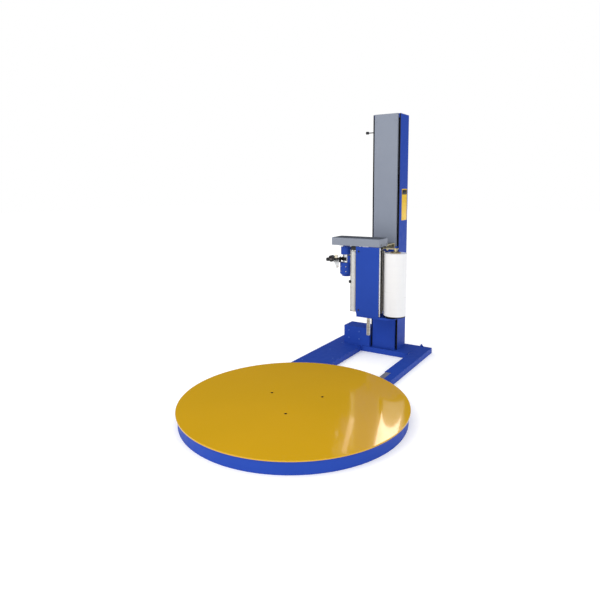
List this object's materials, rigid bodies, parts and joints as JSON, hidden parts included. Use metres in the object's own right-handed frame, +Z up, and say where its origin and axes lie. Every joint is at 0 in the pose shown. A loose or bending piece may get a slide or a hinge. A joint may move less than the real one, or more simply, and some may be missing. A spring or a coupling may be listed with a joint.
{
  "type": "turntable pallet wrapper",
  "caption": "Floor-standing stretch wrapper: round turntable on a low base, two legs to a mast, and a lifting film carriage with prestretch rollers and a film reel.",
  "frame": {"origin": "on the turntable's axis at floor level, in the middle of the base's hub plate", "axes": "+Z up, +Y from the turntable towards the mast, +X to the right of somebody who faces the mast"},
  "size_m": [1.4998, 2.4349, 2.07],
  "materials": {
    "blue_paint": "smooth semi-gloss powder coat",
    "yellow_paint": "glossy powder coat",
    "grey_paint": "satin powder coat",
    "black_steel": "black coated steel",
    "bare_steel": "turned or ground steel",
    "zinc_steel": "yellow passivated zinc plating",
    "motor_grey": "hammered machine enamel",
    "aluminium": "bright machined",
    "rubber": "ground rubber",
    "belt_rubber": "toothed belt",
    "nylon": "moulded polyamide",
    "white_plastic": "turned white plastic",
    "film": "wound stretch film",
    "cardboard": "spiral wound core",
    "black_plastic": "moulded",
    "red_plastic": "moulded",
    "green_plastic": "moulded",
    "panel_foil": "printed foil without text"
  },
  "bodies": {
    "base": {"base_skirt": "blue_paint", "base_frame": "blue_paint", "leg_left": "blue_paint", "leg_right": "blue_paint", "leg_splice": "bare_steel", "cross_member": "blue_paint", "frame_screws": "bare_steel", "drive_box": "blue_paint", "table_gearmotor": "motor_grey", "drive_belt": "belt_rubber", "mast_wall_left": "blue_paint", "mast_wall_right": "blue_paint", "mast_upper_cover": "grey_paint", "mast_lower_cover": "blue_paint", "mast_rear_door": "blue_paint", "mast_cap": "blue_paint", "guide_rails": "black_steel", "lift_gearmotor": "motor_grey", "lift_belt": "belt_rubber", "control_panel": "panel_foil"},
    "turntable": {"turntable_plate": "yellow_paint", "table_spider": "black_steel"},
    "carriage": {"carriage_frame": "blue_paint", "wheel_brackets": "black_steel", "carriage_base": "blue_paint", "carriage_deck": "zinc_steel", "transmission_hood": "grey_paint", "prestretch_motor": "blue_paint", "motor_ring": "aluminium", "transmission_belt": "belt_rubber", "photocell_bracket": "black_steel"},
    "door": {"unit_door": "blue_paint", "door_hinge": "aluminium"},
    "reel": {"film_roll": "film", "reel_core": "cardboard", "reel_spindle": "black_steel"},
    "table_roller_1": {"table_roller_1": "nylon"},
    "table_roller_2": {"table_roller_2": "nylon"},
    "table_roller_3": {"table_roller_3": "nylon"},
    "table_roller_4": {"table_roller_4": "nylon"},
    "drive_pulley": {"drive_pulley": "bare_steel"},
    "belt_idler": {"belt_idler": "bare_steel"},
    "lift_pulley_lower": {"lift_pulley_lower": "bare_steel"},
    "lift_pulley_upper": {"lift_pulley_upper": "bare_steel"},
    "tension_knob": {"tension_knob": "black_plastic"},
    "main_switch": {"main_switch": "black_plastic"},
    "estop": {"estop_button": "red_plastic"},
    "start": {"start_button": "green_plastic"},
    "stop": {"stop_button": "red_plastic"},
    "guide_wheels_lower": {"guide_wheels_lower": "nylon"},
    "guide_wheels_upper": {"guide_wheels_upper": "nylon"},
    "motor_pulley": {"motor_pulley": "bare_steel"},
    "roller_a": {"prestretch_roller_a": "rubber"},
    "roller_b": {"prestretch_roller_b": "rubber"},
    "steel_roller": {"steel_roller": "bare_steel"},
    "dancer": {"dancer_arm": "bare_steel"},
    "exit_roller": {"exit_roller": "white_plastic"},
    "reel_arm": {"reel_arm": "zinc_steel"},
    "stop_rod": {"stop_rod": "bare_steel"},
    "photocell": {"photocell_head": "black_plastic"}
  },
  "joints": [
    {"name": "table_spin", "type": "hinge", "parent": "base", "child": "turntable", "pos_m": [0, 0, 0.08], "axis": [0, 0, 1], "continuous": true},
    {"name": "table_roller_1_spin", "type": "hinge", "parent": "base", "child": "table_roller_1", "pos_m": [0.46669, 0.46669, 0.0477], "axis": [0.7071, 0.7071, 0], "continuous": true},
    {"name": "table_roller_2_spin", "type": "hinge", "parent": "base", "child": "table_roller_2", "pos_m": [-0.46669, 0.46669, 0.0477], "axis": [-0.7071, 0.7071, 0], "continuous": true},
    {"name": "table_roller_3_spin", "type": "hinge", "parent": "base", "child": "table_roller_3", "pos_m": [-0.46669, -0.46669, 0.0477], "axis": [-0.7071, -0.7071, 0], "continuous": true},
    {"name": "table_roller_4_spin", "type": "hinge", "parent": "base", "child": "table_roller_4", "pos_m": [0.46669, -0.46669, 0.0477], "axis": [0.7071, -0.7071, 0], "continuous": true},
    {"name": "drive_pulley_spin", "type": "hinge", "parent": "base", "child": "drive_pulley", "pos_m": [-0.338, 1.508, 0.03], "axis": [0, 0, 1], "continuous": true},
    {"name": "belt_idler_spin", "type": "hinge", "parent": "base", "child": "belt_idler", "pos_m": [-0.238, 0.746, 0.03], "axis": [0, 0, 1], "continuous": true},
    {"name": "carriage_lift", "type": "slide", "parent": "base", "child": "carriage", "axis": [0, 0, 1], "range_m": [-0.22, 0.95]},
    {"name": "lift_pulley_lower_spin", "type": "hinge", "parent": "base", "child": "lift_pulley_lower", "pos_m": [0, 1.59, 0.15], "axis": [1, 0, 0], "range_deg": [-1600, 500]},
    {"name": "lift_pulley_upper_spin", "type": "hinge", "parent": "base", "child": "lift_pulley_upper", "pos_m": [0, 1.59, 1.986], "axis": [1, 0, 0], "range_deg": [-1600, 500]},
    {"name": "guide_wheels_lower_spin", "type": "hinge", "parent": "carriage", "child": "guide_wheels_lower", "pos_m": [0, 1.525, 0.406], "axis": [1, 0, 0], "range_deg": [-2800, 800]},
    {"name": "guide_wheels_upper_spin", "type": "hinge", "parent": "carriage", "child": "guide_wheels_upper", "pos_m": [0, 1.525, 0.9], "axis": [1, 0, 0], "range_deg": [-800, 2800]},
    {"name": "tension_knob_turn", "type": "hinge", "parent": "base", "child": "tension_knob", "pos_m": [-0.12, 1.48, 1.925], "axis": [1, 0, 0], "range_deg": [-360, 360]},
    {"name": "reel_spin", "type": "hinge", "parent": "carriage", "child": "reel", "pos_m": [0.219, 1.165, 0.43], "axis": [0, 0, 1], "continuous": true},
    {"name": "reel_arm_lift", "type": "hinge", "parent": "carriage", "child": "reel_arm", "pos_m": [0.124, 1.165, 0.976], "axis": [0, -1, 0], "range_deg": [0, 80]},
    {"name": "roller_a_spin", "type": "hinge", "parent": "carriage", "child": "roller_a", "pos_m": [0.076, 1.145, 0.43], "axis": [0, 0, 1], "continuous": true},
    {"name": "roller_b_spin", "type": "hinge", "parent": "carriage", "child": "roller_b", "pos_m": [0, 1.145, 0.43], "axis": [0, 0, 1], "continuous": true},
    {"name": "motor_pulley_spin", "type": "hinge", "parent": "carriage", "child": "motor_pulley", "pos_m": [-0.22, 1.165, 1.02], "axis": [0, 0, 1], "continuous": true},
    {"name": "steel_roller_spin", "type": "hinge", "parent": "carriage", "child": "steel_roller", "pos_m": [0.085, 1.21, 0.43], "axis": [0, 0, 1], "continuous": true},
    {"name": "dancer_swing", "type": "hinge", "parent": "carriage", "child": "dancer", "pos_m": [-0.062, 1.127, 0.43], "axis": [0, 0, -1], "range_deg": [0, 25], "stiffness_Nm_per_rad": 8, "springref_deg": -17.19},
    {"name": "exit_roller_spin", "type": "hinge", "parent": "dancer", "child": "exit_roller", "pos_m": [-0.118, 1.107, 0.5], "axis": [0, 0, 1], "continuous": true},
    {"name": "door_swing", "type": "hinge", "parent": "carriage", "child": "door", "pos_m": [0.1185, 1.0915, 0.5], "axis": [0, 0, 1], "range_deg": [0, 110]},
    {"name": "stop_rod_slide", "type": "slide", "parent": "carriage", "child": "stop_rod", "axis": [0, 0, 1], "range_m": [0, 0.015], "stiffness_N_per_m": 200, "springref_m": -0.02},
    {"name": "photocell_tilt", "type": "hinge", "parent": "carriage", "child": "photocell", "pos_m": [-0.332, 1.115, 0.868], "axis": [1, 0, 0], "range_deg": [-30, 30]},
    {"name": "main_switch_turn", "type": "hinge", "parent": "base", "child": "main_switch", "pos_m": [0, 1.66, 1.345], "axis": [0, 1, 0], "range_deg": [0, 90]},
    {"name": "estop_press", "type": "slide", "parent": "base", "child": "estop", "axis": [0, -1, 0], "range_m": [0, 0.004], "stiffness_N_per_m": 800, "springref_m": -0.002},
    {"name": "start_press", "type": "slide", "parent": "base", "child": "start", "axis": [0, -1, 0], "range_m": [0, 0.003], "stiffness_N_per_m": 600, "springref_m": -0.002},
    {"name": "stop_press", "type": "slide", "parent": "base", "child": "stop", "axis": [0, -1, 0], "range_m": [0, 0.003], "stiffness_N_per_m": 600, "springref_m": -0.002}
  ],
  "couplings": [
    {"joint": "table_roller_1_spin", "follows": "table_spin", "ratio": -26.4},
    {"joint": "table_roller_2_spin", "follows": "table_spin", "ratio": -26.4},
    {"joint": "table_roller_3_spin", "follows": "table_spin", "ratio": -26.4},
    {"joint": "table_roller_4_spin", "follows": "table_spin", "ratio": -26.4},
    {"joint": "drive_pulley_spin", "follows": "table_spin", "ratio": 4.271},
    {"joint": "belt_idler_spin", "follows": "table_spin", "ratio": -7.371},
    {"joint": "lift_pulley_lower_spin", "follows": "carriage_lift", "rad_per_m": -27.174},
    {"joint": "lift_pulley_upper_spin", "follows": "carriage_lift", "rad_per_m": -27.174},
    {"joint": "guide_wheels_upper_spin", "follows": "carriage_lift", "rad_per_m": 48.309},
    {"joint": "guide_wheels_lower_spin", "follows": "carriage_lift", "rad_per_m": -48.309},
    {"joint": "roller_b_spin", "follows": "roller_a_spin", "ratio": -0.78571},
    {"joint": "motor_pulley_spin", "follows": "roller_a_spin", "ratio": -0.6861}
  ]
}
